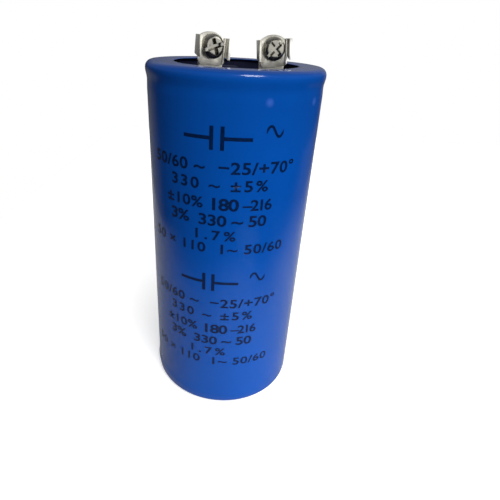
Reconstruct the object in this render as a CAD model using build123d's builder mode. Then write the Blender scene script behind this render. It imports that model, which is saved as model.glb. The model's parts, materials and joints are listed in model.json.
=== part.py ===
from build123d import *
import math
import os

# Motor start capacitor: a drawn aluminium can with a riveted phenolic deck, two screw
# terminals, the wound element inside, and a shrunk PVC sleeve over the outside.
# Millimetres, +Z up, origin at the centre of the foot, the terminal screws facing -Y.

# ---- can, sleeve and rim ----
BODY_R = 25.0          # outside radius of the sleeved body
RIM_TOP = 108.8        # top of the sleeved rim
SLEEVE_WALL = 0.35     # shrunk PVC
CAN_WALL = 0.6         # drawn aluminium
RIM_SWELL = 0.3        # how far the rolled rim stands outside the body
RIM_ROUND = 2.35       # rounded outer edge of the sleeved rim
TOP_FOLD = 7.0         # sleeve folded in over the rim, from the body's radius
FOOT_FOLD = 6.0        # sleeve folded in under the foot
FOOT_ROUND = 2.0       # rounded bottom edge of the sleeve
CAN_FOOT_ROUND = 1.8   # rounded bottom edge of the can
BASE_DISC_T = 0.4      # insulating disc between the can and the bottom fold
BASE_DISC_PLAY = 0.25  # inside the can's rounded bottom edge

# ---- bead that carries the deck ----
RIM_HEIGHT = 3.8       # from the rolled bead's upper face to the top of the rim
BEAD_DEPTH = 1.45      # how far the bead is pressed in
BEAD_SPAN = 3.5        # from the bead's lower start to its upper face
BEAD_SLOPE = 1.0       # height of the bead's slanted lower flank
BEAD_BEND = 0.5
GROOVE_DEPTH = 0.1     # how far the sleeve sinks between the bead and the rim
GROOVE_RUN = 1.6       # from the bead's lower start to the deepest point
RIM_SKIRT = 4.6        # height of the sleeved rim's outer face
CURL_WIDTH = 3.65      # the can's edge, curled in over the seal
GROOVE_START_BEND = 8.0
GROOVE_BEND = 2.5
RIM_BEND = 2.0

# ---- deck, seal and vent ----
DECK_FLANGE = 1.2      # part of the deck that rests on the bead
DECK_PLUG_DEPTH = 2.8  # part of the deck that drops inside the bead
DECK_PLAY = 0.05
PLUG_PLAY = 0.4
DECK_CORNER = 0.4
SEAL_SETBACK = 0.3     # behind the free edge of the top fold
VENT_Y = 9.5
VENT_STEM_R = 2.0
VENT_HEAD_R = 3.0
VENT_HEAD_T = 1.0
VENT_LIP_R = 2.6
VENT_LIP_T = 0.9

# ---- wound element ----
PAD_T = 1.5            # pad under the element
PAD_PLAY = 0.45        # inside the can's rounded bottom edge
HEADROOM = 8.55        # from the top disc to the deck's underside
WRAP_T = 0.35          # paper wrap round the roll
ELEMENT_PLAY = 0.3     # between the wrap and the can
MANDREL_R = 2.2
TOP_DISC_T = 1.0
TOP_DISC_SETBACK = 0.6  # inside the roll

# ---- lead tabs, rivets and their washers ----
TAB_T = 0.3
TAB_WIDTH = 5.0
TAB_X = 4.2            # where each tab leaves the roll
TAB_DEPTH = 8.0        # how deep it runs into the roll
TAB_BEND = 0.8
TAB_RISE = 3.0         # straight run above the disc
TAB_FOLD = 1.6         # slope of the slack fold
TAB_OVER = 4.0         # how far the fold passes the rivet
TAB_TAIL = 3.2         # how far the tab runs on past the rivet
TAB_PLAY = 0.05
RIVET_X = 9.35
RIVET_R = 1.5
RIVET_HEAD_R = 2.6
RIVET_HEAD_T = 1.2
RIVET_PEEN_R = 2.3
RIVET_PEEN_T = 0.9
RIVET_WASHER_R = 3.2
RIVET_WASHER_T = 0.5
HOLE_PLAY = 0.05

# ---- terminals ----
SHEET = 0.75           # bracket sheet
BRACKET_WIDTH = 9.3    # over the two wings
SHEET_BEND = 0.8       # bend radius at the middle of the sheet
REACH = 4.5            # rivet axis to the front face of the upright
AXIS_HEIGHT = 6.55     # screw axis above the deck
WING_REACH = 2.6       # wings, forward of the upright's front face
WING_DROP = 2.8        # wings, below the screw axis
WING_RISE = 2.3        # wings, above the screw axis
WING_RELIEF = 1.0      # slanted lower edge of each wing
DOME_SHOULDER = 2.1
DOME_RISE = 3.4        # top of the upright above the screw axis
COLLAR_R = 2.6         # drawn collar that takes the thread
COLLAR_LENGTH = 1.2
CLAMP_T = 0.45         # wire clamp
CLAMP_PLAY = 0.1       # between the clamp and each wing
CLAMP_BEND = 0.5
CLAMP_DROP = 4.5
CLAMP_RISE = 2.2
CLAMP_CORNER = 1.3
LIP_REACH = 0.85
SCREW_R = 1.75
SCREW_LENGTH = 6.0     # under the head
SCREW_TIP = 0.4
HEAD_R = 2.95
HEAD_T = 2.2
HEAD_CROWN = 1.2
SLOT_WIDTH = 0.85
SLOT_DEPTH = 0.7
CROSS_SPAN = 4.0
CROSS_WIDTH = 1.1
CROSS_DEPTH = 1.5
CROSS_TAPER = 9.0

# Each terminal: side of the rivet, turn of the bracket about it, lean of the upright in
# its own plane (clockwise seen from the front), and turn of the screw's drive, in degrees.
TERMINALS = {
    "left": (-1, 14.0, 5.0, 22.0),
    "right": (1, -5.0, -5.5, 40.0),
}

# ---- values that follow from the sizes above ----
can_r = BODY_R - SLEEVE_WALL
can_mid_r = can_r - CAN_WALL / 2
can_bore_r = can_r - CAN_WALL
mouth_r = BODY_R - TOP_FOLD
foot_fold_r = BODY_R - FOOT_FOLD
bead_mid_r = can_mid_r - BEAD_DEPTH
rim_mid_r = can_mid_r + RIM_SWELL
rim_bore_r = can_bore_r + RIM_SWELL
can_floor = SLEEVE_WALL + BASE_DISC_T
can_top = RIM_TOP - SLEEVE_WALL
curl_r = can_r + RIM_SWELL - CURL_WIDTH
deck_seat = RIM_TOP - RIM_HEIGHT
bead_start = deck_seat - BEAD_SPAN
shelf_mid = deck_seat - CAN_WALL / 2
curl_mid = can_top - CAN_WALL / 2
curl_round = RIM_ROUND - SLEEVE_WALL - CAN_WALL
sleeve_mid_r = BODY_R - SLEEVE_WALL / 2
groove_mid_r = sleeve_mid_r - GROOVE_DEPTH

deck_r = rim_bore_r - DECK_PLAY
plug_r = bead_mid_r - CAN_WALL / 2 - PLUG_PLAY
deck_top = deck_seat + DECK_FLANGE
deck_floor = deck_seat - DECK_PLUG_DEPTH
seal_top = can_top - CAN_WALL
seal_bore_r = mouth_r + SEAL_SETBACK

pad_floor = can_floor + CAN_WALL
element_floor = pad_floor + PAD_T
disc_top = deck_floor - HEADROOM
element_top = disc_top - TOP_DISC_T
element_length = element_top - element_floor
wrap_r = can_bore_r - ELEMENT_PLAY
roll_r = wrap_r - WRAP_T
top_disc_r = roll_r - TOP_DISC_SETBACK
base_disc_r = can_r - CAN_FOOT_ROUND - BASE_DISC_PLAY
pad_r = can_r - CAN_FOOT_ROUND - PAD_PLAY

tab_mid = deck_floor - TAB_T / 2
washer_top = deck_floor - TAB_T
washer_floor = washer_top - RIVET_WASHER_T
wing_mid = (BRACKET_WIDTH - SHEET) / 2
flat_half = wing_mid - SHEET_BEND
clamp_half = BRACKET_WIDTH / 2 - SHEET - CLAMP_PLAY
lip_mid = clamp_half - CLAMP_T / 2


def seat_plane(side):
    """The deck's upper face at one rivet, turned with its bracket."""
    sign, turn = TERMINALS[side][:2]
    angle = math.radians(turn)
    return Plane(
        origin=(sign * RIVET_X, 0, deck_top),
        x_dir=(math.cos(angle), math.sin(angle), 0),
        z_dir=(0, 0, 1),
    )


def face_plane(side):
    """Front face of the upright at the screw axis: x to its right, y up, z out."""
    seat = seat_plane(side)
    lean = math.radians(TERMINALS[side][2])
    right = seat.x_dir * math.cos(lean) - seat.z_dir * math.sin(lean)
    centre = seat.from_local_coords(Vector(0, -REACH, AXIS_HEIGHT))
    return Plane(origin=centre, x_dir=right, z_dir=-seat.y_dir)


def section_plane(face, height):
    """Level across a terminal: x to its right, y to its back."""
    level = face.from_local_coords(Vector(0, height, 0))
    return Plane(origin=level, x_dir=face.x_dir, z_dir=face.y_dir)


def make_bracket(side):
    """Foot, neck and domed upright from one sheet, with two wings folded forward."""
    seat = seat_plane(side)
    face = face_plane(side)
    with BuildPart() as bracket:
        with BuildSketch(section_plane(face, -WING_DROP)):
            with BuildLine():
                FilletPolyline(
                    (-wing_mid, -WING_REACH),
                    (-wing_mid, SHEET / 2),
                    (wing_mid, SHEET / 2),
                    (wing_mid, -WING_REACH),
                    radius=SHEET_BEND,
                )
            trace(line_width=SHEET)
        extrude(amount=WING_DROP + WING_RISE)
        # the lower edge of each wing rises towards the bend
        with BuildSketch(Plane(face.origin, x_dir=face.z_dir, z_dir=-face.x_dir)):
            with BuildLine():
                Polyline(
                    (WING_REACH, -WING_DROP),
                    (-SHEET, -WING_DROP),
                    (-SHEET, WING_RELIEF - WING_DROP),
                    close=True,
                )
            make_face()
        extrude(amount=BRACKET_WIDTH / 2, both=True, mode=Mode.SUBTRACT)
        # domed upright
        with BuildSketch(face):
            with BuildLine():
                Polyline(
                    (-flat_half, DOME_SHOULDER),
                    (-flat_half, -WING_DROP),
                    (flat_half, -WING_DROP),
                    (flat_half, DOME_SHOULDER),
                )
                ThreePointArc(
                    (flat_half, DOME_SHOULDER), (0, DOME_RISE), (-flat_half, DOME_SHOULDER)
                )
            make_face()
        extrude(amount=-SHEET)
        # neck and foot, one bent strip along the rivet's line
        with BuildSketch(Plane(seat.origin, x_dir=seat.y_dir, z_dir=seat.x_dir)):
            with BuildLine():
                FilletPolyline(
                    (SHEET / 2 - REACH, AXIS_HEIGHT - WING_DROP + SHEET),
                    (SHEET / 2 - REACH, SHEET / 2),
                    (0, SHEET / 2),
                    radius=SHEET_BEND,
                )
            trace(line_width=SHEET)
        extrude(amount=flat_half, both=True)
        with BuildSketch(seat):
            Circle(flat_half)
        extrude(amount=SHEET)
        with BuildSketch(seat):
            Circle(RIVET_R + HOLE_PLAY)
        extrude(amount=SHEET, mode=Mode.SUBTRACT)
        # threaded collar drawn to the back
        with BuildSketch(face.offset(-SHEET)):
            Circle(COLLAR_R)
        extrude(amount=-COLLAR_LENGTH)
        with BuildSketch(face):
            Circle(SCREW_R + HOLE_PLAY)
        extrude(amount=-SHEET - COLLAR_LENGTH, mode=Mode.SUBTRACT)
    return bracket


def make_clamp(side):
    """Square clamp between the wings, its two sides turned forward."""
    face = face_plane(side)
    clamp_height = CLAMP_DROP + CLAMP_RISE
    with BuildPart() as clamp:
        with BuildSketch(section_plane(face, -CLAMP_DROP)):
            with BuildLine():
                FilletPolyline(
                    (-lip_mid, -LIP_REACH),
                    (-lip_mid, -CLAMP_T / 2),
                    (lip_mid, -CLAMP_T / 2),
                    (lip_mid, -LIP_REACH),
                    radius=CLAMP_BEND,
                )
            trace(line_width=CLAMP_T)
        extrude(amount=clamp_height)
        with BuildSketch(face):
            with Locations((0, (CLAMP_RISE - CLAMP_DROP) / 2)):
                outline = Rectangle(2 * clamp_half, clamp_height)
            fillet(outline.vertices().group_by(Axis.Y)[0], radius=CLAMP_CORNER)
        extrude(amount=LIP_REACH, mode=Mode.INTERSECT)
        with BuildSketch(face):
            Circle(SCREW_R + HOLE_PLAY)
        extrude(amount=CLAMP_T, mode=Mode.SUBTRACT)
    return clamp


def make_screw(side):
    """Pan-head terminal screw with a combined slot and cross drive."""
    face = face_plane(side)
    drive = TERMINALS[side][3]
    head_front = CLAMP_T + HEAD_T
    with BuildPart() as screw:
        with BuildSketch(Plane(face.origin, x_dir=face.x_dir, z_dir=-face.y_dir)):
            with BuildLine():
                Polyline(
                    (0, CLAMP_T - SCREW_LENGTH),
                    (SCREW_R - SCREW_TIP, CLAMP_T - SCREW_LENGTH),
                    (SCREW_R, CLAMP_T - SCREW_LENGTH + SCREW_TIP),
                    (SCREW_R, CLAMP_T),
                    (HEAD_R, CLAMP_T),
                    (HEAD_R, head_front),
                    (0, head_front),
                    close=True,
                )
            make_face()
        revolve(axis=Axis(face.origin, face.z_dir))
        crown = screw.edges().filter_by(GeomType.CIRCLE).sort_by(
            lambda edge: face.to_local_coords(edge.arc_center).Z + edge.radius
        )[-1]
        fillet(crown, radius=HEAD_CROWN)
        with BuildSketch(face.offset(head_front)):
            Rectangle(2 * HEAD_R, SLOT_WIDTH, rotation=drive)
        extrude(amount=-SLOT_DEPTH, mode=Mode.SUBTRACT)
        with BuildSketch(face.offset(head_front)):
            Rectangle(CROSS_SPAN, CROSS_WIDTH, rotation=drive)
            Rectangle(CROSS_WIDTH, CROSS_SPAN, rotation=drive)
        extrude(amount=-CROSS_DEPTH, taper=CROSS_TAPER, mode=Mode.SUBTRACT)
    return screw


def make_rivet(side):
    """Solid rivet: domed head on the foot, peened under the washer inside the can."""
    seat = seat_plane(side)
    peen = washer_floor - deck_top
    dome_r = (RIVET_HEAD_R**2 + RIVET_HEAD_T**2) / (2 * RIVET_HEAD_T)
    half_turn = math.asin(RIVET_HEAD_R / dome_r) / 2
    dome_centre = SHEET + RIVET_HEAD_T - dome_r
    with BuildPart() as rivet:
        with BuildSketch(Plane(seat.origin, x_dir=seat.x_dir, z_dir=-seat.y_dir)):
            with BuildLine():
                Polyline(
                    (0, peen - RIVET_PEEN_T),
                    (RIVET_PEEN_R * 0.7, peen - RIVET_PEEN_T),
                    (RIVET_PEEN_R, peen),
                    (RIVET_R, peen),
                    (RIVET_R, SHEET),
                    (RIVET_HEAD_R, SHEET),
                )
                ThreePointArc(
                    (RIVET_HEAD_R, SHEET),
                    (dome_r * math.sin(half_turn), dome_centre + dome_r * math.cos(half_turn)),
                    (0, SHEET + RIVET_HEAD_T),
                )
                Line((0, SHEET + RIVET_HEAD_T), (0, peen - RIVET_PEEN_T))
            make_face()
        revolve(axis=Axis(seat.origin, seat.z_dir))
    return rivet


def make_rivet_washer(side):
    """Washer that spreads the peened end over the lead tab."""
    sign = TERMINALS[side][0]
    with BuildPart() as washer:
        with BuildSketch(Plane((sign * RIVET_X, 0, washer_floor))):
            Circle(RIVET_WASHER_R)
            Circle(RIVET_R + HOLE_PLAY, mode=Mode.SUBTRACT)
        extrude(amount=RIVET_WASHER_T)
    return washer


def tab_profile(sign):
    """Centre line of a lead tab: up out of the roll, out in a slack fold, back to the rivet."""
    return (
        (sign * TAB_X, element_top - TAB_DEPTH),
        (sign * TAB_X, disc_top + TAB_RISE),
        (sign * (RIVET_X + TAB_OVER), disc_top + TAB_RISE + TAB_FOLD),
        (sign * (RIVET_X + TAB_OVER), tab_mid),
        (sign * (RIVET_X - TAB_TAIL), tab_mid),
    )


def make_lead_tab(side):
    """Aluminium tab from the roll to its rivet."""
    sign = TERMINALS[side][0]
    with BuildPart() as tab:
        with BuildSketch(Plane.XZ):
            with BuildLine():
                FilletPolyline(*tab_profile(sign), radius=TAB_BEND)
            trace(line_width=TAB_T)
        extrude(amount=TAB_WIDTH / 2, both=True)
        with BuildSketch(Plane((sign * RIVET_X, 0, washer_top))):
            Circle(RIVET_R + HOLE_PLAY)
        extrude(amount=TAB_T, mode=Mode.SUBTRACT)
    return tab


# Sleeve: one wall from the bottom fold to the top fold, sunk a little over the bead.
with BuildPart() as outer_sleeve:
    with BuildSketch(Plane.XZ):
        with BuildLine():
            FilletPolyline(
                (foot_fold_r, SLEEVE_WALL / 2),
                (sleeve_mid_r, SLEEVE_WALL / 2),
                (sleeve_mid_r, bead_start),
                (groove_mid_r, bead_start + GROOVE_RUN),
                (sleeve_mid_r + RIM_SWELL, RIM_TOP - RIM_SKIRT),
                (sleeve_mid_r + RIM_SWELL, RIM_TOP - SLEEVE_WALL / 2),
                (mouth_r, RIM_TOP - SLEEVE_WALL / 2),
                radius=(
                    FOOT_ROUND - SLEEVE_WALL / 2,
                    GROOVE_START_BEND,
                    GROOVE_BEND,
                    RIM_BEND,
                    RIM_ROUND - SLEEVE_WALL / 2,
                ),
            )
        trace(line_width=SLEEVE_WALL)
    revolve(axis=Axis.Z)

# Insulating disc inside the bottom fold.
with BuildPart() as base_disc:
    with BuildSketch(Plane.XY.offset(SLEEVE_WALL)):
        Circle(base_disc_r)
    extrude(amount=BASE_DISC_T)

# Can: floor, wall, rolled bead, swollen rim and the curl that closes on the seal.
with BuildPart() as can:
    with BuildSketch(Plane.XZ):
        with BuildLine():
            FilletPolyline(
                (0, can_floor + CAN_WALL / 2),
                (can_mid_r, can_floor + CAN_WALL / 2),
                (can_mid_r, bead_start),
                (bead_mid_r, bead_start + BEAD_SLOPE),
                (bead_mid_r, shelf_mid),
                (rim_mid_r, shelf_mid),
                (rim_mid_r, curl_mid),
                (curl_r, curl_mid),
                radius=(
                    CAN_FOOT_ROUND - CAN_WALL / 2,
                    CAN_WALL,
                    BEAD_BEND,
                    BEAD_BEND,
                    CAN_WALL,
                    curl_round + CAN_WALL / 2,
                ),
            )
        trace(line_width=CAN_WALL)
    revolve(axis=Axis.Z)

# Pad on the can's floor.
with BuildPart() as bottom_pad:
    with BuildSketch(Plane.XY.offset(pad_floor)):
        Circle(pad_r)
    extrude(amount=PAD_T)

# Wound element: one roll of foil and paper, open down the middle, slit where the tabs enter.
with BuildPart() as winding:
    with BuildSketch(Plane.XY.offset(element_floor)):
        Circle(roll_r)
        Circle(MANDREL_R, mode=Mode.SUBTRACT)
    extrude(amount=element_length)
    with BuildSketch(Plane.XY.offset(element_top)):
        with Locations((-TAB_X, 0), (TAB_X, 0)):
            Rectangle(TAB_T + 2 * TAB_PLAY, TAB_WIDTH + 2 * TAB_PLAY)
    extrude(amount=-TAB_DEPTH, mode=Mode.SUBTRACT)

# Paper wrap that holds the roll closed.
with BuildPart() as winding_wrap:
    with BuildSketch(Plane.XY.offset(element_floor)):
        Circle(wrap_r)
        Circle(roll_r, mode=Mode.SUBTRACT)
    extrude(amount=element_length)

# Insulating disc on the roll, slotted for the tabs.
with BuildPart() as top_disc:
    with BuildSketch(Plane.XY.offset(element_top)):
        Circle(top_disc_r)
        Circle(MANDREL_R, mode=Mode.SUBTRACT)
        with Locations((-TAB_X, 0), (TAB_X, 0)):
            Rectangle(TAB_T + 2 * TAB_PLAY, TAB_WIDTH + 2 * TAB_PLAY, mode=Mode.SUBTRACT)
    extrude(amount=TOP_DISC_T)

# Phenolic deck: a flange on the bead and a plug that drops inside it.
with BuildPart() as deck_board:
    with BuildSketch(Plane.XY.offset(deck_seat)):
        Circle(deck_r)
    extrude(amount=DECK_FLANGE)
    under_edge = deck_board.edges().filter_by(GeomType.CIRCLE).sort_by(Axis.Z)[0]
    chamfer(under_edge, length=DECK_CORNER)
    with BuildSketch(Plane.XY.offset(deck_floor)):
        Circle(plug_r)
    extrude(amount=DECK_PLUG_DEPTH)
    with BuildSketch(Plane.XY.offset(deck_floor)):
        with Locations((-RIVET_X, 0), (RIVET_X, 0)):
            Circle(RIVET_R + HOLE_PLAY)
        with Locations((0, VENT_Y)):
            Circle(VENT_STEM_R + HOLE_PLAY)
    extrude(amount=deck_top - deck_floor, mode=Mode.SUBTRACT)

# Rubber seal under the curl, its inner part standing level with the curl's top.
with BuildPart() as seal_ring:
    with BuildSketch(Plane.XZ):
        with BuildLine():
            Polyline(
                (seal_bore_r, deck_top),
                (deck_r, deck_top),
                (deck_r, seal_top),
                (curl_r - DECK_PLAY, seal_top),
                (curl_r - DECK_PLAY, can_top),
                (seal_bore_r, can_top),
                close=True,
            )
        outline = make_face()
        shoulder = outline.vertices().group_by(Axis.X)[-1].sort_by(Axis.Y)[-1]
        fillet(shoulder, radius=min(curl_round, seal_top - deck_top - DECK_PLAY))
    revolve(axis=Axis.Z)

# Rubber vent plug, pulled through the deck.
with BuildPart() as vent_plug:
    with BuildSketch(Plane((0, VENT_Y, deck_top))):
        Circle(VENT_HEAD_R)
    extrude(amount=VENT_HEAD_T)
    head_edge = vent_plug.edges().filter_by(GeomType.CIRCLE).sort_by(Axis.Z)[-1]
    fillet(head_edge, radius=VENT_HEAD_T / 2)
    with BuildSketch(Plane((0, VENT_Y, deck_top))):
        Circle(VENT_STEM_R)
    extrude(amount=deck_floor - deck_top)
    with BuildSketch(Plane((0, VENT_Y, deck_floor))):
        Circle(VENT_LIP_R)
    extrude(amount=-VENT_LIP_T, taper=20)

pieces = {
    "outer_sleeve": outer_sleeve,
    "base_disc": base_disc,
    "can": can,
    "bottom_pad": bottom_pad,
    "winding": winding,
    "winding_wrap": winding_wrap,
    "top_disc": top_disc,
    "deck_board": deck_board,
    "seal_ring": seal_ring,
    "vent_plug": vent_plug,
}
for side in TERMINALS:
    pieces[f"lead_tab_{side}"] = make_lead_tab(side)
    pieces[f"rivet_washer_{side}"] = make_rivet_washer(side)
    pieces[f"rivet_{side}"] = make_rivet(side)
    pieces[f"terminal_bracket_{side}"] = make_bracket(side)
    pieces[f"wire_clamp_{side}"] = make_clamp(side)
    pieces[f"terminal_screw_{side}"] = make_screw(side)

os.makedirs("parts", exist_ok=True)
for name, piece in pieces.items():
    piece.part.label = name
    export_step(piece.part, f"parts/{name}.step")
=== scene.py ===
"""Motor start capacitor: finishes, printed marking, sleeve detail, lights and camera."""

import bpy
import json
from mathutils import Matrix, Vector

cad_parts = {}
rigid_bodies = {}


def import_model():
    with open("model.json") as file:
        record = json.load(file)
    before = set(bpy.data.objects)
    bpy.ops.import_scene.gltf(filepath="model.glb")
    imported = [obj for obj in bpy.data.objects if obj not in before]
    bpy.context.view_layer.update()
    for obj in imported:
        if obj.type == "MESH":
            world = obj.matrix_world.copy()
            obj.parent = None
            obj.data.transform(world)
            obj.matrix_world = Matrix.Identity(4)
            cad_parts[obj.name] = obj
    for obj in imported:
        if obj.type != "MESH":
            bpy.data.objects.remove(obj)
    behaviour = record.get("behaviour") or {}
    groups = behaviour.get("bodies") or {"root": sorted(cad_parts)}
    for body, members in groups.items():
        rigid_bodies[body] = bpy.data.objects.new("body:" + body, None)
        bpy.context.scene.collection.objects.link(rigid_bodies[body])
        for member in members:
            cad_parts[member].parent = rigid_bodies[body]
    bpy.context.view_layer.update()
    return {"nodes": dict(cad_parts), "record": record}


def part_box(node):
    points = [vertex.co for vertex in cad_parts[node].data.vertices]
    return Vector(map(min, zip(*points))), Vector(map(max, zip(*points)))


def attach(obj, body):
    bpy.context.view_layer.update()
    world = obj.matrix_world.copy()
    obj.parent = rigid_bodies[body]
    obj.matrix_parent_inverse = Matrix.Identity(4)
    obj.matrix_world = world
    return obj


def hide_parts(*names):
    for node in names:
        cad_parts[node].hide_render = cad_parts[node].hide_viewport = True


bl_info = {
    "name": "Motor start capacitor",
    "version": (1, 0, 0),
    "blender": (4, 5, 0),
    "location": "3D View > Sidebar > Capacitor",
    "description": "Dresses a motor start capacitor: shrunk sleeve, marking, terminals and stage",
    "category": "Object",
}
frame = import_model()
import json
import math
import bmesh
import bpy
import numpy as np
from bpy.props import FloatProperty, FloatVectorProperty, PointerProperty
from mathutils import Matrix, Vector

MM = 0.001
NODES = frame["nodes"]
SIDES = ("left", "right")


# ---------------------------------------------------------------- sizes and colours
class CapacitorSleeve(bpy.types.PropertyGroup):
    body_radius: FloatProperty(
        name="Body radius", description="Outside radius of the straight sleeve",
        default=25.0 * MM, unit="LENGTH", precision=5)
    wall: FloatProperty(
        name="Wall", description="Thickness of the shrunk film",
        default=0.35 * MM, unit="LENGTH", precision=5)
    foot_bulge: FloatProperty(
        name="Foot bulge", description="How far the gathered film stands out above the foot",
        default=0.30 * MM, unit="LENGTH", precision=5)
    colour: FloatVectorProperty(
        name="Film", description="Colour of the film", subtype="COLOR", size=3,
        default=(0.0012, 0.079, 0.418))
    ink: FloatVectorProperty(
        name="Ink", description="Colour of the printed marking", subtype="COLOR", size=3,
        default=(0.0006, 0.011, 0.055))


class CapacitorTerminals(bpy.types.PropertyGroup):
    plating: FloatVectorProperty(
        name="Plating", description="Colour of the plated sheet and screws",
        subtype="COLOR", size=3,
        default=(0.80, 0.775, 0.68))
    edge: FloatProperty(
        name="Edge", description="Rounding of the sheet's edges",
        default=0.13 * MM, unit="LENGTH", precision=6)


class CapacitorStage(bpy.types.PropertyGroup):
    turn: FloatProperty(
        name="Turn", description="Camera's angle about the can, from straight in front",
        default=math.radians(-15.0), subtype="ANGLE")
    distance: FloatProperty(
        name="Distance", description="Camera to the can's axis", default=123.4 * MM, unit="LENGTH")
    height: FloatProperty(
        name="Height", description="Camera above the floor", default=116.6 * MM, unit="LENGTH")
    pitch: FloatProperty(
        name="Pitch", description="How far the camera looks down", default=0.4956, subtype="ANGLE")
    pan: FloatProperty(
        name="Pan", description="How far the camera looks aside", default=0.0119, subtype="ANGLE")
    roll: FloatProperty(
        name="Roll", description="Camera's roll", default=0.0538, subtype="ANGLE")
    lens: FloatProperty(name="Lens", description="Focal length in mm", default=28.72)
    room: FloatProperty(
        name="Room", description="Brightness of the room round the can", default=0.2)


def settings(group):
    """One of the scene's property groups."""
    return getattr(bpy.context.scene, f"capacitor_{group}")


# ---------------------------------------------------------------- meshes
def new_piece(name, points, faces, smooth=True):
    """A mesh object at the origin from arrays of points and of face corners."""
    mesh = bpy.data.meshes.new(name)
    mesh.from_pydata(points.tolist(), [], faces.tolist())
    mesh.validate()
    mesh.polygons.foreach_set("use_smooth", np.full(len(mesh.polygons), smooth))
    mesh.update()
    piece = bpy.data.objects.new(name, mesh)
    bpy.context.scene.collection.objects.link(piece)
    return piece


def grid_faces(rows, columns, wrap_rows, wrap_columns):
    """Quads of a rows by columns grid of points, closed on itself where asked."""
    i = np.arange(rows if wrap_rows else rows - 1)[:, None]
    j = np.arange(columns if wrap_columns else columns - 1)[None, :]
    i2, j2 = (i + 1) % rows, (j + 1) % columns
    corners = [i * columns + j, i * columns + j2, i2 * columns + j2, i2 * columns + j]
    return np.stack(np.broadcast_arrays(*corners), -1).reshape(-1, 4)


def rounded_path(corners, radii, step):
    """Points and unit left-hand normals along straight runs joined by tangent arcs.

    Each inner corner is cut by an arc of its radius: the arc starts the radius times the tangent
    of half the turn before the corner, and its normal turns evenly from one run's to the next."""
    corners = np.asarray(corners, float)
    points, normals = [], []
    cursor = corners[0]
    for k in range(1, len(corners) - 1):
        a = corners[k] - corners[k - 1]
        b = corners[k + 1] - corners[k]
        a, b = a / np.linalg.norm(a), b / np.linalg.norm(b)
        turn = math.atan2(a[0] * b[1] - a[1] * b[0], a @ b)
        cut = radii[k - 1] * math.tan(abs(turn) / 2)
        start = corners[k] - a * cut
        left = np.array([-a[1], a[0]])
        pieces = max(2, int(np.linalg.norm(start - cursor) / step) + 1)
        run = np.linspace(0, 1, pieces, endpoint=False)
        points.append(cursor + run[:, None] * (start - cursor))
        normals.append(np.tile(left, (len(run), 1)))
        count = max(4, int(abs(turn) * radii[k - 1] / step * 3))
        angle = np.linspace(0, turn, count, endpoint=False)
        swing = np.stack([
            left[0] * np.cos(angle) - left[1] * np.sin(angle),
            left[0] * np.sin(angle) + left[1] * np.cos(angle)], -1)
        side = math.copysign(1, turn)
        centre = start + left * radii[k - 1] * side
        points.append(centre - swing * radii[k - 1] * side)
        normals.append(swing)
        cursor = corners[k] + b * cut
    last = corners[-1] - cursor
    left = np.array([-last[1], last[0]]) / np.linalg.norm(last)
    run = np.linspace(0, 1, max(2, int(np.linalg.norm(last) / step) + 1))
    points.append(cursor + run[:, None] * last)
    normals.append(np.tile(left, (len(run), 1)))
    return np.concatenate(points), np.concatenate(normals)


def bump_at(angle, height, centre_angle, centre_height, width, tall):
    """A rounded hill of height 1: the exponential of minus the squared scaled distance."""
    away = (angle - centre_angle + math.pi) % (2 * math.pi) - math.pi
    return np.exp(-((away / width) ** 2) - ((height - centre_height) / tall) ** 2)


MERGE_DISTANCE = 2e-7  # triangle corners nearer than this are one point
FLAT_ANGLE = math.radians(0.4)  # faces that meet flatter than this are one face
EDGE_ANGLE = math.radians(35)  # edges sharper than this are rounded


def softened_copy(node, name, width):
    """A CAD node's mesh with its loose triangles merged and its edges rounded a little."""
    mesh = NODES[node].data.copy()
    piece = bpy.data.objects.new(name, mesh)
    bpy.context.scene.collection.objects.link(piece)
    work = bmesh.new()
    work.from_mesh(mesh)
    bmesh.ops.remove_doubles(work, verts=work.verts, dist=MERGE_DISTANCE)
    bmesh.ops.dissolve_limit(work, angle_limit=FLAT_ANGLE, verts=work.verts, edges=work.edges)
    work.to_mesh(mesh)
    work.free()
    mesh.polygons.foreach_set("use_smooth", np.ones(len(mesh.polygons), bool))
    bevel = piece.modifiers.new("edges", "BEVEL")
    bevel.width = width
    bevel.segments = 3
    bevel.limit_method = "ANGLE"
    bevel.angle_limit = EDGE_ANGLE
    bevel.harden_normals = True
    bevel.use_clamp_overlap = True
    mesh.materials.clear()
    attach(piece, "root")
    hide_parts(node)
    return piece


# ---------------------------------------------------------------- finishes
def start_material(name):
    """An empty node material with its shader and object coordinates."""
    material = bpy.data.materials.new(name)
    material.use_nodes = True
    tree = material.node_tree
    shader = tree.nodes["Principled BSDF"]
    coords = tree.nodes.new("ShaderNodeTexCoord")
    return material, tree, shader, coords


def noise(tree, coords, scale, detail=3.0, stretch=(1, 1, 1), rough=0.5):
    """Noise on object coordinates; scale is in features per metre."""
    mapping = tree.nodes.new("ShaderNodeMapping")
    mapping.inputs["Scale"].default_value = stretch
    tree.links.new(coords.outputs["Object"], mapping.inputs["Vector"])
    texture = tree.nodes.new("ShaderNodeTexNoise")
    texture.inputs["Scale"].default_value = scale
    texture.inputs["Detail"].default_value = detail
    texture.inputs["Roughness"].default_value = rough
    tree.links.new(mapping.outputs["Vector"], texture.inputs["Vector"])
    return texture.outputs["Fac"]


def measure(tree, operation, vector, other=(0, 0, 0)):
    """A number from a vector and, where the operation needs one, a fixed second vector."""
    node = tree.nodes.new("ShaderNodeVectorMath")
    node.operation = operation
    node.inputs[1].default_value = other
    tree.links.new(vector, node.inputs[0])
    return node.outputs["Value"]


def height_of(tree, vector):
    """A vector's third coordinate."""
    node = tree.nodes.new("ShaderNodeSeparateXYZ")
    tree.links.new(vector, node.inputs["Vector"])
    return node.outputs["Z"]


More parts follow.
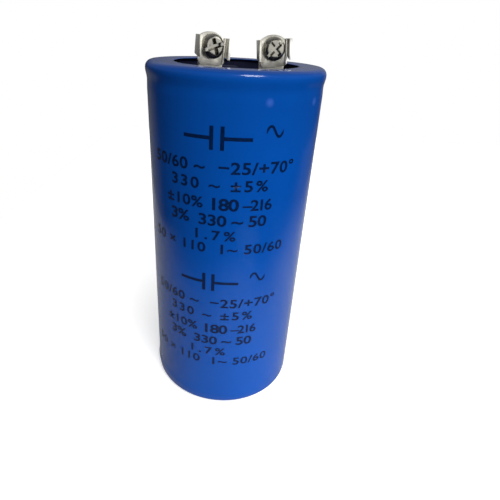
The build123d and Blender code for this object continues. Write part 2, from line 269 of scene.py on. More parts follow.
def maths(tree, operation, *values):
    """The result of a maths node; each value is a fixed number or another node's output."""
    node = tree.nodes.new("ShaderNodeMath")
    node.operation = operation
    for socket, value in zip(node.inputs, values):
        if isinstance(value, bpy.types.NodeSocket):
            tree.links.new(value, socket)
        else:
            socket.default_value = value
    return node.outputs["Value"]


def times(tree, first, second):
    """One value times another."""
    return maths(tree, "MULTIPLY", first, second)


def greatest(tree, first, *others):
    """The greatest of some values."""
    for other in others:
        first = maths(tree, "MAXIMUM", first, other)
    return first


def spread(tree, source, low, high, lower=0.3, upper=0.7):
    """Maps a value from lower..upper, the usual band of a noise, to low..high."""
    node = tree.nodes.new("ShaderNodeMapRange")
    node.inputs["From Min"].default_value = lower
    node.inputs["From Max"].default_value = upper
    node.inputs["To Min"].default_value = low
    node.inputs["To Max"].default_value = high
    tree.links.new(source, node.inputs["Value"])
    return node.outputs["Result"]


def tint(tree, source, first, second, lower=0.3, upper=0.7):
    """Blends two fixed colours by a value."""
    ramp = tree.nodes.new("ShaderNodeValToRGB")
    ramp.color_ramp.elements[0].position = lower
    ramp.color_ramp.elements[0].color = (*first, 1)
    ramp.color_ramp.elements[1].position = upper
    ramp.color_ramp.elements[1].color = (*second, 1)
    tree.links.new(source, ramp.inputs["Fac"])
    return ramp.outputs["Color"]


def relief(tree, shader, *layers):
    """Chains bumps, each a (value, strength, distance) layer, into the shader's normal."""
    normal = None
    for source, strength, distance in layers:
        bump = tree.nodes.new("ShaderNodeBump")
        bump.inputs["Strength"].default_value = strength
        bump.inputs["Distance"].default_value = distance
        tree.links.new(source, bump.inputs["Height"])
        if normal is not None:
            tree.links.new(normal, bump.inputs["Normal"])
        normal = bump.outputs["Normal"]
    tree.links.new(normal, shader.inputs["Normal"])


def shaded(colour, factor):
    """A colour made lighter or darker."""
    return tuple(min(1.0, c * factor) for c in colour)


def blister(tree, coords, centre, radius):
    """A round hill: 1 at its centre, falling smoothly to 0 at its radius."""
    away = measure(tree, "DISTANCE", coords.outputs["Object"], centre)
    hill = spread(tree, away, 1.0, 0.0, 0.0, radius)
    hill.node.interpolation_type = "SMOOTHERSTEP"
    return hill


def blend(tree, share, first, second):
    """Mixes a colour with a fixed one by a share that other nodes give."""
    mix = tree.nodes.new("ShaderNodeMix")
    mix.data_type = "RGBA"
    tree.links.new(share, mix.inputs["Factor"])
    tree.links.new(first, mix.inputs["A"])
    mix.inputs["B"].default_value = second
    return mix.outputs["Result"]


# Blisters in the film, each a real bump with a painted highlight, a paler blue, over it: degrees to
# the right of the camera, height and radius in mm.
BLISTERS_AND_HIGHLIGHTS = ((19.8, 101.9, 1.6), (56.0, 101.4, 1.6))
BLISTER_PAINTED_HIGHLIGHT = (0.08, 0.19, 0.72, 1)
RIM_TOP_SHADE_HEIGHTS = (107.7 * MM, 108.6 * MM)  # heights between which painted shade darkens the film over the rim's top
RIM_TOP_SHADE_COLOUR = (0.001, 0.01, 0.055, 1)


def film_material(colour):
    """Shrunk PVC: glossy, its tone drifting a little, with a soft orange-peel. Each blister carries
    a painted highlight, a paler blue, and painted shade darkens the film over the rim's top."""
    material, tree, shader, coords = start_material("sleeve film")
    cloud = noise(tree, coords, 38, 3)
    streak = noise(tree, coords, 260, 2, (1, 1, 0.06))
    peel = noise(tree, coords, 620, 2)
    swell = noise(tree, coords, 55, 1, (1, 1, 0.4))
    tree.links.new(spread(tree, streak, 0.13, 0.18), shader.inputs["Roughness"])
    shader.inputs["IOR"].default_value = 1.5
    shader.inputs["Specular IOR Level"].default_value = 0.3
    front, reach = settings("stage").turn - math.pi / 2, settings("sleeve").body_radius
    layers = [(swell, 0.1, 0.00012), (peel, 0.06, 0.00002)]
    tone = tint(tree, cloud, shaded(colour, 0.93), shaded(colour, 1.06))
    # Painted shade: over the rim's top the film's colour is blended halfway towards deep navy.
    rim_top_shade = spread(tree, height_of(tree, coords.outputs["Object"]), 0.0, 0.5, *RIM_TOP_SHADE_HEIGHTS)
    tone = blend(tree, rim_top_shade, tone, RIM_TOP_SHADE_COLOUR)
    # Painted highlight: over each blister the film's colour is blended towards a paler blue; the
    # bump under it is real relief.
    for aside, height, radius in BLISTERS_AND_HIGHLIGHTS:
        angle = front + math.radians(aside)
        centre = (reach * math.cos(angle), reach * math.sin(angle), height * MM)
        hill = blister(tree, coords, centre, radius * MM)
        layers.append((hill, 0.4, 0.0001))
        tone = blend(tree, times(tree, hill, 0.45), tone, BLISTER_PAINTED_HIGHLIGHT)
    tree.links.new(tone, shader.inputs["Base Color"])
    relief(tree, shader, *layers)
    return material


def ink_material(colour):
    """Screen-printed ink with a slightly uneven coat."""
    material, tree, shader, coords = start_material("marking ink")
    grain = noise(tree, coords, 2500, 3)
    tone = tint(tree, grain, shaded(colour, 0.8), shaded(colour, 1.5))
    tree.links.new(tone, shader.inputs["Base Color"])
    tree.links.new(spread(tree, grain, 0.3, 0.42), shader.inputs["Roughness"])
    shader.inputs["Specular IOR Level"].default_value = 0.2
    relief(tree, shader, (grain, 0.1, 0.00001))
    return material


# Painted shade and highlight on the folded sheets: how far left of its middle a sheet is painted
# dark and how
# # far right it is painted bright, each over the width of the change, and the heights between which
# painted shade darkens its top.
SHEET_SHADE_FROM, SHEET_HIGHLIGHT_FROM, CHANGE = 4.2 * MM, 3.5 * MM, 0.2 * MM
SHEET_SHADE_TOP = (114.2 * MM, 115.9 * MM)
SHEET_HIGHLIGHT_COLOUR = (0.95, 0.93, 0.86, 1)


def plated_material(name, colour, low, high, grain_scale, metallic=1.0, sheet=None):
    """Nickel-plated steel: faint rolling lines, small pits and a warm tarnish. A sheet, given by
    the way to its left and its middle along that way, gets painted shade on its left and at its top
    and a painted highlight on its right."""
    material, tree, shader, coords = start_material(name)
    tarnish = noise(tree, coords, 420, 3)
    lines = noise(tree, coords, grain_scale, 2, (1, 1, 0.45))
    pits = noise(tree, coords, 5200, 2)
    tone = tint(tree, tarnish, shaded(colour, 0.8), shaded(colour, 1.12))
    if sheet:
        leftwards, middle = sheet
        aside = measure(tree, "DOT_PRODUCT", coords.outputs["Object"], leftwards)
        left = spread(tree, aside, 0.0, 1.0, middle + SHEET_SHADE_FROM, middle + SHEET_SHADE_FROM + CHANGE)
        right = spread(tree, aside, 1.0, 0.0, middle - SHEET_HIGHLIGHT_FROM - CHANGE, middle - SHEET_HIGHLIGHT_FROM)
        crown_shade = spread(tree, height_of(tree, coords.outputs["Object"]), 0.0, 0.75, *SHEET_SHADE_TOP)
        # Painted shade on the sheet's left and over its top, and a painted highlight on its right.
        tone = blend(tree, left, tone, (*shaded(colour, 0.24), 1))
        tone = blend(tree, right, tone, SHEET_HIGHLIGHT_COLOUR)
        tone = blend(tree, crown_shade, tone, (*shaded(colour, 0.3), 1))
    tree.links.new(tone, shader.inputs["Base Color"])
    shader.inputs["Metallic"].default_value = metallic
    tree.links.new(spread(tree, lines, low, high), shader.inputs["Roughness"])
    relief(tree, shader, (lines, 0.04, 0.000006), (pits, 0.02, 0.000003))
    return material


def aluminium_material():
    """Drawn aluminium with long draw lines."""
    material, tree, shader, coords = start_material("drawn aluminium")
    lines = noise(tree, coords, 1600, 3, (1, 1, 0.02))
    cloud = noise(tree, coords, 120, 2)
    tone = tint(tree, cloud, (0.66, 0.67, 0.68), (0.8, 0.8, 0.81))
    tree.links.new(tone, shader.inputs["Base Color"])
    shader.inputs["Metallic"].default_value = 1.0
    tree.links.new(spread(tree, lines, 0.28, 0.42), shader.inputs["Roughness"])
    relief(tree, shader, (lines, 0.12, 0.00002))
    return material


def moulded_material(name, first, second, low, high, scale, height):
    """Dull moulded surface, mottled between two colours."""
    material, tree, shader, coords = start_material(name)
    mottle = noise(tree, coords, scale, 4)
    fine = noise(tree, coords, scale * 5, 2)
    tree.links.new(tint(tree, mottle, first, second), shader.inputs["Base Color"])
    tree.links.new(spread(tree, fine, low, high), shader.inputs["Roughness"])
    shader.inputs["Specular IOR Level"].default_value = 0.2
    relief(tree, shader, (fine, 0.25, height))
    return material


def roll_material():
    """Wound foil and paper: fine rings about the can's axis."""
    material, tree, shader, coords = start_material("wound roll")
    rings = tree.nodes.new("ShaderNodeTexWave")
    rings.wave_type = "RINGS"
    rings.rings_direction = "Z"
    rings.inputs["Scale"].default_value = 500
    rings.inputs["Distortion"].default_value = 0.4
    tree.links.new(coords.outputs["Object"], rings.inputs["Vector"])
    tone = tint(tree, rings.outputs["Fac"], (0.34, 0.27, 0.17), (0.62, 0.58, 0.5))
    tree.links.new(tone, shader.inputs["Base Color"])
    tree.links.new(spread(tree, rings.outputs["Fac"], 0.45, 0.7), shader.inputs["Roughness"])
    relief(tree, shader, (rings.outputs["Fac"], 0.4, 0.00006))
    return material


def dress(node, material):
    """Gives a CAD node its finish."""
    slots = NODES[node].data.materials
    slots.clear()
    slots.append(material)


# ---------------------------------------------------------------- pieces
FILM_STEP = 1.1 * MM  # between points along the film, from the foot to the mouth
FILM_COLUMNS = 360
# Dents in the film: degrees to the right of the camera, mm below the top, depth in mm, and how
# far from its middle, in radians aside and in mm up, a dent is about a third as deep.
DENTS = ((18, 7.9, 0.1, 0.03, 0.7), (54, 7.9, 0.08, 0.05, 0.8))
RIPPLE, CRIMP, SAG = 0.008 * MM, 0.006 * MM, 0.02 * MM


def sleeve_profile(body, wall, top, rim):
    """Points and normals along the film's mid-line: in from the foot's fold, up the body, a
    little inwards over the bead, out to the rim, and in over it to the mouth."""
    mid, crest = body - wall / 2, rim - wall / 2
    corners = [
        (body - 6 * MM, wall / 2), (mid, wall / 2), (mid, top - 7 * MM),
        (mid - 0.12 * MM, top - 4.5 * MM), (crest, top - 2.5 * MM), (crest, top - wall / 2),
        (body - 7.5 * MM, top - wall / 2)]
    radii = [2 * MM - wall / 2, 2.5 * MM, 6 * MM, 3 * MM, 1.95 * MM - wall / 2]
    return rounded_path(corners, radii, FILM_STEP)


def unevenness(sleeve, angle, r, z, top):
    """How far each point of the film moves out and up. Cosines and sines of the angle, and of
    the height, are weighed by bells about the height of what they shape: the film gathered above
    the foot, fullest on the left; a ripple on the body, always inwards; the dents; a crimp under
    the rim; and the mouth, whose edge wanders in, out and down."""
    view = settings("stage").turn - math.pi / 2
    fullest = view - math.radians(80)
    foot = np.exp(-((z - 4.2 * MM) / (1.5 * MM)) ** 2)
    out = sleeve.foot_bulge * (0.45 + 0.55 * np.cos(angle - fullest)) * foot
    ripple = np.sin(3 * angle + z * 60) + np.sin(7 * angle - z * 35 + 1.3)
    out = out - RIPPLE * (1 + ripple / 2) * (z > 7 * MM) * (z < top - 9 * MM)
    for aside, below, depth, width, tall in DENTS:
        centre = view + math.radians(aside)
        out = out - depth * MM * bump_at(angle, z, centre, top - below * MM, width, tall * MM)
    crimp = np.sin(23 * angle) + np.sin(37 * angle + 2) + np.sin(51 * angle + 4)
    out = out + CRIMP * crimp * np.exp(-((z - top + 4.8 * MM) / (1.4 * MM)) ** 2)
    mouth = np.clip((sleeve.body_radius - 4.5 * MM - r) / (2.5 * MM), 0, 1) * (z > top / 2)
    edge = 0.16 * np.sin(2 * angle + 0.6) + 0.1 * np.sin(5 * angle + 2) + 0.05 * np.sin(11 * angle)
    sag = 1 + np.sin(4 * angle + 1) + 0.5 * np.sin(9 * angle)
    return out + mouth * MM * edge, -SAG * mouth * sag


class CAPACITOR_OT_sleeve(bpy.types.Operator):
    """Make the shrunk film with its uneven folds, in place of the plain sleeve"""
    bl_idname = "capacitor.sleeve"
    bl_label = "Sleeve"

    def execute(self, context):
        """The film's mid-line, with half of its wall on each side, is turned about the can's
        axis; the wall thins to a quarter towards the mouth."""
        sleeve = settings("sleeve")
        _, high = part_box("outer_sleeve")
        top, rim = high.z, high.x
        path, normals = sleeve_profile(sleeve.body_radius, sleeve.wall, top, rim)
        inwards = np.clip((sleeve.body_radius - 5.2 * MM - path[:, :1]) / (2 * MM), 0, 1)
        half = sleeve.wall / 2 * (1 - 0.75 * inwards * (path[:, 1:] > top / 2))
        ring = np.concatenate([path - normals * half, (path + normals * half)[::-1]])
        angle = np.linspace(0, 2 * math.pi, FILM_COLUMNS, endpoint=False)[:, None]
        r, z = ring[None, :, 0], ring[None, :, 1]
        out, lift = unevenness(sleeve, angle, r, z, top)
        wide = r + out
        points = np.stack(
            np.broadcast_arrays(wide * np.cos(angle), wide * np.sin(angle), z + lift), -1)
        faces = grid_faces(FILM_COLUMNS, ring.shape[0], True, True)
        piece = new_piece("shrunk_sleeve", points.reshape(-1, 3), faces)
        outward(piece)
        piece.data.materials.append(film_material(tuple(sleeve.colour)))
        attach(piece, "root")
        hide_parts("outer_sleeve")
        return {"FINISHED"}


def outward(piece):
    """Turns every face of a closed piece outwards."""
    work = bmesh.new()
    work.from_mesh(piece.data)
    bmesh.ops.recalc_face_normals(work, faces=work.faces)
    work.to_mesh(piece.data)
    work.free()


DIGIT = 0.73  # height of a digit in the built-in face, at size 1
BROAD = 1.22  # how much wider than that face the marking is
INK_LIFT = 0.025 * MM  # how far the ink stands off the film
BLOCKS = ((0.0, 0.0), (42.4, -3.0))  # each block of the marking: mm down, degrees to the right
# Rows of the marking: words, middle angle and width in degrees, foot and height in mm, weight.
MARKING = (
    ("50/60 ~  −25/+70°", -7.4, 97, 84.3, 3.2, 0.022),
    ("330 ~ ±5%", -7.9, 63, 79.6, 3.1, 0.022),
    ("±10%", -30.4, 27.5, 74.3, 3.15, 0.022),
    ("180", -2.4, 16.6, 74.1, 3.5, 0.027),
    ("–216", 17.8, 19.3, 74.2, 3.2, 0.022),
    ("3%  330 ~ 50", -7.9, 65, 69.4, 3.35, 0.024),
    ("1.7%", -8.3, 26.5, 65.0, 3.0, 0.022),
    ("50 × 110  1~ 50/60", -10.3, 99, 60.8, 3.1, 0.022),
)


class CAPACITOR_OT_marking(bpy.types.Operator):
    """Print the plain numbers and the capacitor sign on the sleeve, twice"""
    bl_idname = "capacitor.marking"
    bl_label = "Marking"

    def execute(self, context):
        sleeve = settings("sleeve")
        work = bmesh.new()
        for drop, shift in BLOCKS:
            for words, middle, width, foot, tall, weight in MARKING:
                add_words(work, words, middle + shift, width, foot - drop, tall, weight)
            add_sign(work, shift, drop)
        wrap_round(work, sleeve.body_radius + INK_LIFT, settings("stage").turn)
        mesh = bpy.data.meshes.new("printed_marking")
        work.to_mesh(mesh)
        work.free()
        piece = bpy.data.objects.new("printed_marking", mesh)
        context.scene.collection.objects.link(piece)
        mesh.materials.append(ink_material(tuple(sleeve.ink)))
        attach(piece, "root")
        return {"FINISHED"}


def add_words(work, words, middle, width, foot, tall, weight):
    """Lays one row flat: across is arc length in metres, up is height above the floor. The gaps
    between the signs are opened until the row has its width."""
    arc = math.radians(width) * settings("sleeve").body_radius
    scale = tall * MM / DIGIT
    curve = bpy.data.curves.new("row", "FONT")
    curve.body = words
    curve.resolution_u = 3
    curve.offset = weight
    holder = bpy.data.objects.new("row", curve)
    bpy.context.scene.collection.objects.link(holder)
    spans = []
    for gap in (1.0, 2.0):
        curve.space_character = gap
        bpy.context.view_layer.update()
        spans.append(holder.dimensions.x * scale * BROAD)
    curve.space_character = max(0.8, 1 + (arc - spans[0]) / (spans[1] - spans[0]))
    bpy.context.view_layer.update()
    graph = bpy.context.evaluated_depsgraph_get()
    flat = bpy.data.meshes.new_from_object(holder.evaluated_get(graph))
    co = np.empty(len(flat.vertices) * 3)
    flat.vertices.foreach_get("co", co)
    co = co.reshape(-1, 3)
    low, high = co.min(0), co.max(0)
    centre = math.radians(middle) * settings("sleeve").body_radius
    co[:, 0] = centre + (co[:, 0] - (low[0] + high[0]) / 2) * arc / (high[0] - low[0])
    co[:, 1] = foot * MM + co[:, 1] * scale
    co[:, 2] = 0
    flat.vertices.foreach_set("co", co.ravel())
    work.from_mesh(flat)
    bpy.data.objects.remove(holder)
    bpy.data.curves.remove(curve)
    bpy.data.meshes.remove(flat)


def add_bar(work, left, right, foot, head):
    """A plain inked bar, in mm along the sleeve and above the floor."""
    corners = [(left, foot), (right, foot), (right, head), (left, head)]
    verts = [work.verts.new((x * MM, y * MM, 0)) for x, y in corners]
    work.faces.new(verts)


# The capacitor sign: its middle in degrees; its foot and head, the near and far edges of its
# plates, and the end and half thickness of its leads, in mm.
SIGN_MIDDLE, SIGN_FOOT, SIGN_HEAD = -9, 90.2, 96.1
PLATE_NEAR, PLATE_FAR, LEAD_END, LEAD_HALF = 0.9, 1.9, 9.0, 0.45
# The wave: its middle in degrees; its level, length, height and half thickness in mm.
WAVE_MIDDLE, WAVE_LEVEL, WAVE_LENGTH, WAVE_HEIGHT, WAVE_HALF = 25, 95.1, 4.8, 1.3, 0.32


def add_sign(work, shift, drop):
    """The two-plate capacitor sign and a small wave beside it: one turn of a sine, thickened by
    the length of its slope so that it looks as thick all along."""
    radius = settings("sleeve").body_radius / MM
    mid = math.radians(SIGN_MIDDLE + shift) * radius
    foot, head = SIGN_FOOT - drop, SIGN_HEAD - drop
    level = (foot + head) / 2
    add_bar(work, mid - PLATE_FAR, mid - PLATE_NEAR, foot, head)
    add_bar(work, mid + PLATE_NEAR, mid + PLATE_FAR, foot, head)
    add_bar(work, mid - LEAD_END, mid - PLATE_FAR, level - LEAD_HALF, level + LEAD_HALF)
    add_bar(work, mid + PLATE_FAR, mid + LEAD_END, level - LEAD_HALF, level + LEAD_HALF)
    t = np.linspace(0, 1, 25)
    start = math.radians(WAVE_MIDDLE + shift) * radius - WAVE_LENGTH / 2
    across = (start + WAVE_LENGTH * t) * MM
    wave = (WAVE_LEVEL - drop + WAVE_HEIGHT * np.sin(2 * math.pi * t)) * MM
    slope = WAVE_HEIGHT * 2 * math.pi / WAVE_LENGTH * np.cos(2 * math.pi * t)
    thick = WAVE_HALF * MM * np.sqrt(1 + slope ** 2)
    lower = [work.verts.new((x, y, 0)) for x, y in zip(across, wave - thick)]
    upper = [work.verts.new((x, y, 0)) for x, y in zip(across, wave + thick)]
    for k in range(len(t) - 1):
        work.faces.new((lower[k], lower[k + 1], upper[k + 1], upper[k]))


def wrap_round(work, radius, turn):
    """Cuts the flat marking every millimetre across and bends it round the can: the distance
    across becomes an angle about the axis and the height stays."""
    span = [v.co.x for v in work.verts]
    for x in np.arange(min(span) + MM, max(span), MM):
        everything = work.verts[:] + work.edges[:] + work.faces[:]
        bmesh.ops.bisect_plane(work, geom=everything, plane_co=(x, 0, 0), plane_no=(1, 0, 0))
    for v in work.verts:
        angle = turn - math.pi / 2 + v.co.x / radius
        v.co = (radius * math.cos(angle), radius * math.sin(angle), v.co.y)
    bmesh.ops.recalc_face_normals(work, faces=work.faces)
    for f in work.faces:
        middle = f.calc_center_median()
        if f.normal.x * middle.x + f.normal.y * middle.y < 0:
            f.normal_flip()


class CAPACITOR_OT_terminals(bpy.types.Operator):
    """Finish the brackets, clamps and screws, and cut the screws' threads"""
    bl_idname = "capacitor.terminals"
    bl_label = "Terminals"

    def execute(self, context):
        terminals = settings("terminals")
        # Painted shade: the screws take the sheet's plating colour darkened to 0.37, so their heads
        # read dark.
        bolt = plated_material("plated screw", shaded(terminals.plating, 0.37), 0.22, 0.3, 3800)
        for side in SIDES:
            face, _, across = screw_frame(side)
            sheet = plated_material(
                f"plated sheet {side}", tuple(terminals.plating), 0.34, 0.44, 2600, 0.88,
                (across, face.dot(across)))
            for node, width, finish in (
                ("terminal_bracket", terminals.edge, sheet),
                ("wire_clamp", terminals.edge * 0.8, sheet),
                ("terminal_screw", terminals.edge * 0.8, bolt),
            ):
                piece = softened_copy(f"{node}_{side}", f"{node}_{side}_finished", width)
                piece.data.materials.append(finish)
            dress(f"rivet_washer_{side}", sheet)
            add_thread(side, bolt)
        return {"FINISHED"}


def screw_frame(side):
    """Where a screw's head bears, the way it points out, and the way to the viewer's left."""
    record = {m["name"]: m for m in frame["record"]["mounts"]}[f"terminal_{side}"]
    axis = Vector(record["axis"]).normalized()
    return Vector(record["pos_m"]), axis, axis.cross(Vector((0, 0, 1))).normalized()


def add_thread(side, finish):
    """A ridge round the bare end of the screw. A point at turn t and share s of the ridge's width
    stands at the shank's radius plus the ridge's height at s, and moves one pitch along the axis
    each turn. Over a third of a turn at each end the ridge sinks into the shank."""
    face, axis, across = screw_frame(side)
    up = across.cross(axis)
    pitch, crest, root = 0.6 * MM, 1.86 * MM, 1.74 * MM
    first, last = 2.1 * MM, 5.1 * MM
    broad, sunk = 0.8 * pitch, 0.1 * MM
    turns, steps = (last - first) / pitch, 40
    t = np.linspace(0, turns, int(turns * steps))[:, None]
    fade = np.clip(np.minimum(t, turns - t) * 3, 0, 1)
    s = np.array([0, 0.3, 0.5, 0.7, 1.0])[None, :]
    ridge = np.array([0, 1, 1, 1, 0])[None, :] * fade
    radius = root - sunk * (1 - fade) + (crest - root) * ridge
    back = first + t * pitch + (s - 0.5) * broad
    turn = 2 * math.pi * t
    basis = np.array([across, up, -axis])
    local = np.stack(np.broadcast_arrays(radius * np.cos(turn), radius * np.sin(turn), back), -1)
    points = local @ basis + np.array(face)
    faces = grid_faces(len(t), s.size, False, False)
    piece = new_piece(f"screw_thread_{side}", points.reshape(-1, 3), faces)
    outward(piece)
    piece.data.materials.append(finish)
    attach(piece, "root")


class CAPACITOR_OT_deck(bpy.types.Operator):
    """Finish the deck, the seal, the vent plug and the rivets"""
    bl_idname = "capacitor.deck"
    bl_label = "Deck"

    def execute(self, context):
        dress("deck_board", moulded_material(
            "phenolic board", (0.004, 0.006, 0.026), (0.009, 0.01, 0.036), 0.5, 0.65, 500, 0.00003))
        rubber = moulded_material(
            "seal rubber", (0.004, 0.006, 0.024), (0.008, 0.01, 0.034), 0.7, 0.85, 900, 0.00002)
        dress("seal_ring", rubber)
        dress("vent_plug", rubber)
        rivet = plated_material("rivet metal", (0.66, 0.62, 0.5), 0.2, 0.35, 3000)
        for side in SIDES:
            dress(f"rivet_{side}", rivet)
        return {"FINISHED"}


class CAPACITOR_OT_inside(bpy.types.Operator):
    """Finish the can and what it holds"""
    bl_idname = "capacitor.inside"
    bl_label = "Can and element"

    def execute(self, context):
        metal = aluminium_material()
        board = moulded_material(
            "pressed board", (0.34, 0.27, 0.17), (0.5, 0.41, 0.28), 0.7, 0.9, 700, 0.00004)
        paper = moulded_material(
            "kraft paper", (0.42, 0.31, 0.19), (0.55, 0.43, 0.28), 0.65, 0.85, 1100, 0.00002)
        dress("can", metal)
        for side in SIDES:
            dress(f"lead_tab_{side}", metal)
        for node in ("base_disc", "bottom_pad", "top_disc"):
            dress(node, board)
        dress("winding_wrap", paper)
        dress("winding", roll_material())
        return {"FINISHED"}


# ---------------------------------------------------------------- stage
LAMP_AIM, CARD_AIM = Vector((0, 0, 0.06)), Vector((0, 0, 0.11))
TERMINAL_WORDS = ("bracket", "clamp", "screw", "washer")


def seen_by(tree, *rays):
    """1 for the kinds of ray named, such as Is Camera Ray, and 0 for the rest."""
    path = tree.nodes.new("ShaderNodeLightPath")
    return greatest(tree, *(path.outputs[ray] for ray in rays))


# The floor: its corners, to the right of the can and behind it, its colour, its glow for the
# camera beside the can, and its glow in reflections.
FLOOR_CORNERS = ((-0.15, -0.14), (0.35, -0.14), (0.35, 0.4), (-0.15, 0.4))
FLOOR_COLOUR = (0.78, 0.78, 0.78)
FLOOR_GLOW, MIRRORED_GLOW = 0.63, 0.1
# Where painted shade darkens what it bounces and mirrors, in metres: behind the can's axis, from
# the axis, and to its right.
FLOOR_SHADE_FRONT, FLOOR_SHADE_NEAR, FLOOR_SHADE_RIGHT = (-0.15, -0.055), (0.03, 0.08), (0.11, 0.2)
GLOW_RISE = (0.035, 0.12)  # distances from the axis over which all of it comes to glow


def stage_material(name, colour, glow, turn):
    """Pale surface that keeps the object's shadow. A share of it glows for the camera, and all
    of it further out. What it mirrors and bounces carries painted shade, darker towards the viewer,
    to the far right and close to the can."""
    material, tree, shader, coords = start_material(name)
    place = coords.outputs["Object"]
    aside = measure(tree, "DOT_PRODUCT", place, (math.cos(turn), math.sin(turn), 0))
    behind = measure(tree, "DOT_PRODUCT", place, (-math.sin(turn), math.cos(turn), 0))
    away = measure(tree, "LENGTH", place)
    back = maths(tree, "MULTIPLY_ADD", maths(tree, "ABSOLUTE", aside), -0.6, behind)
    # Painted shade: for every ray but the camera's, the floor's colour darkens towards the viewer,
    # near the can and far to the right.
    fade = spread(tree, back, 0.05, 1.0, *FLOOR_SHADE_FRONT)
    fade.node.interpolation_type = "SMOOTHSTEP"
    fade = times(tree, fade, spread(tree, away, 0.7, 1.0, *FLOOR_SHADE_NEAR))
    fade = times(tree, fade, spread(tree, aside, 1.0, 0.3, *FLOOR_SHADE_RIGHT))
    seen = seen_by(tree, "Is Camera Ray", "Is Transmission Ray")
    cloud = spread(tree, noise(tree, coords, 6, 2), 0.99, 1.0)
    lit = times(tree, greatest(tree, seen, fade), cloud)
    tree.links.new(tint(tree, lit, (0, 0, 0), colour, 0, 1), shader.inputs["Base Color"])
    shader.inputs["Roughness"].default_value = 0.9
    shader.inputs["Specular IOR Level"].default_value = 0.1
    shader.inputs["Emission Color"].default_value = (1, 1, 1, 1)
    far = spread(tree, away, glow, 1.0, *GLOW_RISE)
    mirrored = times(tree, times(tree, seen_by(tree, "Is Glossy Ray"), MIRRORED_GLOW), fade)
    both = maths(tree, "ADD", times(tree, seen, far), mirrored)
    tree.links.new(both, shader.inputs["Emission Strength"])
    return material


# The backdrop in reflections, as discs: degrees to the right of what is straight behind the
# can, degrees up, brightness, and the cosines of the outer and inner edge.
BACKDROP = (
    (0.0, 58.0, 0.38, 0.66, 0.85),
    (12.0, 5.0, 0.18, 0.86, 0.975),
    (-40.0, -26.0, 0.22, 0.87, 0.98),
)


def room_light(context, room, turn):
    """White for the camera and through glass; reflections see the backdrop's discs, and a room
    elsewhere that is brighter above, as everything else does."""
    world = bpy.data.worlds.new("white room")
    context.scene.world = world
    world.use_nodes = True
    tree = world.node_tree
    background = tree.nodes["Background"]
    coords = tree.nodes.new("ShaderNodeTexCoord")
    glossy = seen_by(tree, "Is Glossy Ray")
    shares = [seen_by(tree, "Is Camera Ray", "Is Transmission Ray")]
    for aside, rise, level, outer, inner in BACKDROP:
        aside, rise = turn - math.radians(aside), math.radians(rise)
        level_share = math.cos(rise)
        centre = (-math.sin(aside) * level_share, math.cos(aside) * level_share, math.sin(rise))
        facing = measure(tree, "DOT_PRODUCT", coords.outputs["Generated"], centre)
        shares.append(times(tree, glossy, spread(tree, facing, 0.0, level, outer, inner)))
    height = height_of(tree, coords.outputs["Generated"])
    dim = spread(tree, height, 0.15 * room, room, 0.02, 0.35)
    strength = spread(tree, greatest(tree, *shares), 0.0, 1.0, 0.0, 1.0)
    tree.links.new(dim, strength.node.inputs["To Min"])
    tree.links.new(strength, background.inputs["Strength"])
    background.inputs["Color"].default_value = (1, 1, 1, 1)


def area_light(name, place, aim, width, tall, power, glossy):
    """A soft rectangular lamp at place, facing aim, that the camera doesn't see."""
    lamp = bpy.data.lights.new(name, "AREA")
    lamp.shape = "RECTANGLE"
    lamp.size = width
    lamp.size_y = tall
    lamp.energy = power
    holder = bpy.data.objects.new(name, lamp)
    bpy.context.scene.collection.objects.link(holder)
    facing = (aim - place).to_track_quat("-Z", "Y").to_matrix().to_4x4()
    holder.matrix_world = Matrix.Translation(place) @ facing
    holder.visible_camera = False
    holder.visible_glossy = glossy
    return holder


def stand_lamp(name, middle, turn, aside, rise, away, width, tall, power, glossy):
    """A lamp on a sphere round the middle of what it lights: aside and rise are its longitude,
    from the camera's side, and its latitude in degrees."""
    turn, rise = turn + math.radians(aside), math.radians(rise)
    level_share = math.cos(rise)
    place = Vector((math.sin(turn) * level_share, -math.cos(turn) * level_share, math.sin(rise)))
    return area_light(name, middle + place * away, middle, width, tall, power, glossy)


# Lamps: degrees to the right of the camera, degrees up, distance, width and height in metres,
# power, and whether they are mirrored. The strip lights all but the terminals.
LAMPS = {
    "front softbox": (10.0, 50.0, 0.6, 0.35, 0.35, 0.22, False),
    "side softbox": (58.0, 50.0, 0.7, 0.6, 0.5, 0.92, False),
    "strip": (24.0, 49.0, 0.5, 0.16, 0.13, 1.4, True),
}
# Cards that light the terminals alone, in the same terms.
CARDS = {
    "front card": (40.0, 8.0, 0.35, 0.5, 0.36, 0.88, True),
    "side card": (75.0, 33.0, 0.5, 0.3, 0.25, 0.7, True),
    "rear card": (-137.0, 2.0, 0.35, 0.4, 0.2, 0.2, True),
}
# Low lamps, which aren't mirrored: degrees to the right of the camera, distance, height above
# the floor, width and height of the lamp in metres, power.
LOW_LAMPS = {
    "low card": (25.0, 0.12, 0.015, 0.06, 0.02, 0.051),
    "low side card": (75.0, 0.12, 0.015, 0.06, 0.02, 0.005),
}


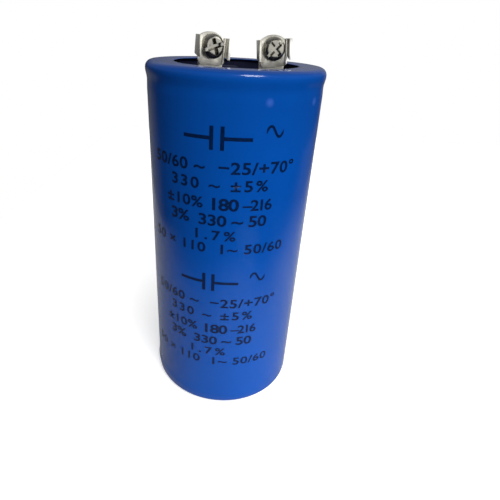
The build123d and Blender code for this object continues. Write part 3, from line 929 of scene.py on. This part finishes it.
class CAPACITOR_OT_stage(bpy.types.Operator):
    """Set the floor, the soft lights and the camera"""
    bl_idname = "capacitor.stage"
    bl_label = "Stage"

    def execute(self, context):
        stage = settings("stage")
        right = (math.cos(stage.turn), math.sin(stage.turn), 0)
        behind = (-math.sin(stage.turn), math.cos(stage.turn), 0)
        corners = np.array(FLOOR_CORNERS) @ np.array([right, behind])
        floor = new_piece("pale_floor", corners, np.array([(0, 1, 2, 3)]), False)
        floor.data.materials.append(
            stage_material("pale floor", FLOOR_COLOUR, FLOOR_GLOW, stage.turn))
        room_light(context, stage.room, stage.turn)
        metal = bpy.data.collections.new("terminal pieces")
        rest = bpy.data.collections.new("other pieces")
        for piece in context.scene.objects:
            if piece.type == "MESH":
                terminal = any(word in piece.name for word in TERMINAL_WORDS)
                (metal if terminal else rest).objects.link(piece)
        for name, values in LAMPS.items():
            lamp = stand_lamp(name, LAMP_AIM, stage.turn, *values)
            if name == "strip":
                lamp.light_linking.receiver_collection = rest
        for name, values in CARDS.items():
            card = stand_lamp(name, CARD_AIM, stage.turn, *values)
            card.light_linking.receiver_collection = metal
        for name, (turn, away, height, width, tall, power) in LOW_LAMPS.items():
            turn = stage.turn + math.radians(turn)
            place = Vector((math.sin(turn) * away, -math.cos(turn) * away, height))
            area_light(name, place, Vector((0, 0, height)), width, tall, power, False)
        place_camera(context, stage)
        context.scene.view_settings.view_transform = "Standard"
        return {"FINISHED"}


SENSOR = 36  # width in mm
LENS_SHIFT = (0.0367, -0.0071)


def place_camera(context, stage):
    """The camera stands at its angle round the can and its height, looks down by its pitch and
    aside by its pan, and is then rolled about its own axis."""
    level_share = math.cos(stage.pitch)
    forward = Vector((
        math.sin(stage.pan) * level_share, math.cos(stage.pan) * level_share,
        -math.sin(stage.pitch)))
    right = Vector((math.cos(stage.pan), -math.sin(stage.pan), 0))
    up = right.cross(forward)
    rolled_right = math.cos(stage.roll) * right + math.sin(stage.roll) * up
    rolled_up = -math.sin(stage.roll) * right + math.cos(stage.roll) * up
    pose = Matrix((rolled_right, rolled_up, -forward)).transposed().to_4x4()
    pose.translation = Vector((0, -stage.distance, stage.height))
    lens = bpy.data.cameras.new("camera")
    lens.lens = stage.lens
    lens.sensor_width = SENSOR
    lens.shift_x, lens.shift_y = LENS_SHIFT
    lens.clip_start = 0.005
    holder = bpy.data.objects.new("camera", lens)
    context.scene.collection.objects.link(holder)
    holder.matrix_world = Matrix.Rotation(stage.turn, 4, "Z") @ pose
    context.scene.camera = holder


class CAPACITOR_PT_panel(bpy.types.Panel):
    """Sizes, colours and steps of the capacitor"""
    bl_label = "Capacitor"
    bl_idname = "CAPACITOR_PT_panel"
    bl_space_type = "VIEW_3D"
    bl_region_type = "UI"
    bl_category = "Capacitor"

    def draw(self, context):
        column = self.layout.column()
        for group in GROUPS:
            values = settings(group)
            for key in values.__annotations__:
                column.prop(values, key)
        for step in STEPS:
            column.operator(step.bl_idname)


GROUPS = {"sleeve": CapacitorSleeve, "terminals": CapacitorTerminals, "stage": CapacitorStage}
STEPS = (
    CAPACITOR_OT_sleeve, CAPACITOR_OT_marking, CAPACITOR_OT_terminals,
    CAPACITOR_OT_deck, CAPACITOR_OT_inside, CAPACITOR_OT_stage)


def register():
    for cls in (*GROUPS.values(), *STEPS, CAPACITOR_PT_panel):
        bpy.utils.register_class(cls)
    for group, cls in GROUPS.items():
        setattr(bpy.types.Scene, f"capacitor_{group}", PointerProperty(type=cls))


def unregister():
    for group in GROUPS:
        delattr(bpy.types.Scene, f"capacitor_{group}")
    for cls in (CAPACITOR_PT_panel, *reversed(STEPS), *GROUPS.values()):
        bpy.utils.unregister_class(cls)


def main():
    register()
    bpy.ops.capacitor.sleeve()
    bpy.ops.capacitor.marking()
    bpy.ops.capacitor.terminals()
    bpy.ops.capacitor.deck()
    bpy.ops.capacitor.inside()
    bpy.ops.capacitor.stage()


if __name__ == "__main__":
    main()
